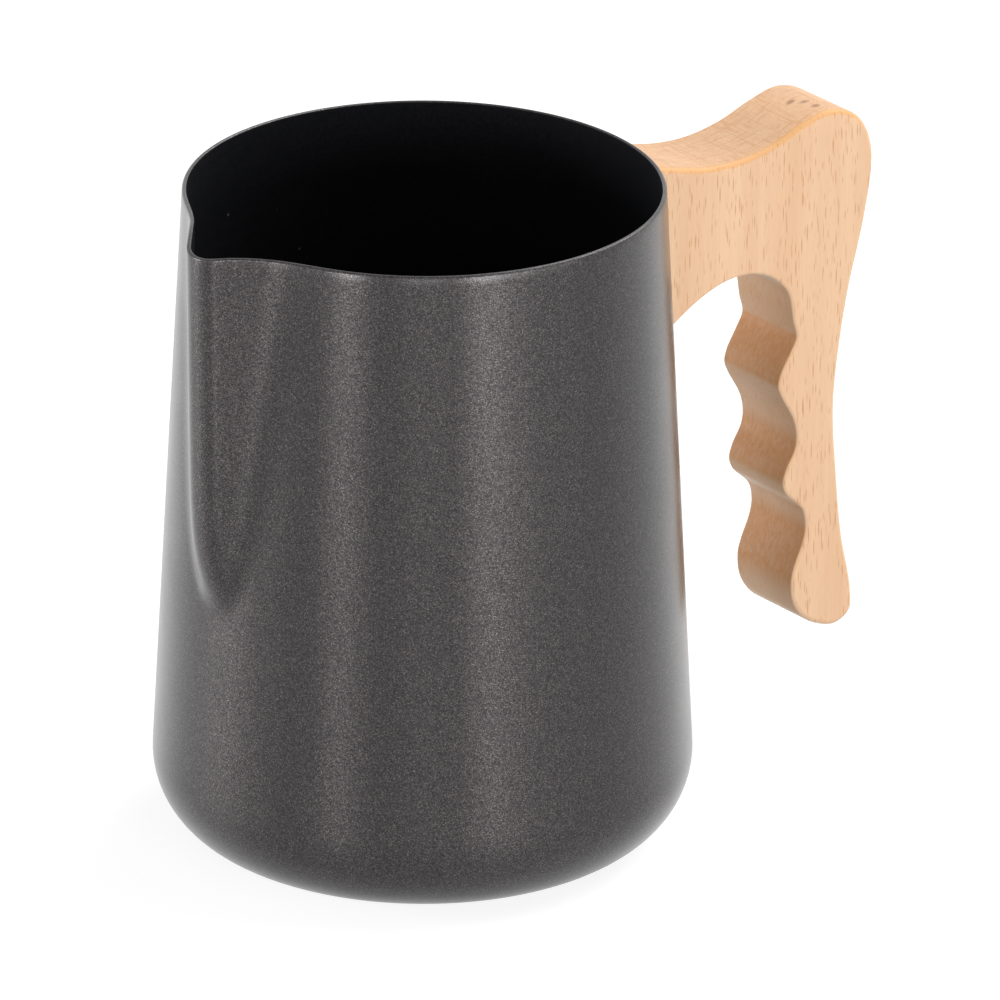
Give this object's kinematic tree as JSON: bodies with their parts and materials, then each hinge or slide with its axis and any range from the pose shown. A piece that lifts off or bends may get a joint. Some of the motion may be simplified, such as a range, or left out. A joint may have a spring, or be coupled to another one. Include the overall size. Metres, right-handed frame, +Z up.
{
  "type": "milk frothing pitcher",
  "caption": "Tapered steel milk frothing pitcher with a pressed V pouring spout, a dark speckled coat and a screwed-on beech handle with finger grooves.",
  "frame": {"origin": "on the round wall's axis, in the plane that the base stands on", "axes": "+Z up along the wall's axis, +X towards the handle, -X towards the spout, +Y completes the right-handed frame"},
  "size_m": [0.1366, 0.0904, 0.1142],
  "materials": {
    "coated_steel": "satin dark warm grey metallic coat with a fine pale speckle outside, near-black matte coat inside",
    "beech": "pale steamed beech, sanded and lightly oiled, with short brown flecks along the grain",
    "welded_steel": "plain stamped and turned steel",
    "fastener_steel": "bright machined stainless steel"
  },
  "bodies": {
    "root": {"pitcher_body": "coated_steel", "wooden_handle": "beech", "handle_saddle": "welded_steel", "lower_boss": "welded_steel", "upper_boss": "welded_steel", "lower_screw": "fastener_steel", "upper_screw": "fastener_steel", "lower_washer": "fastener_steel", "upper_washer": "fastener_steel"}
  },
  "joints": []
}
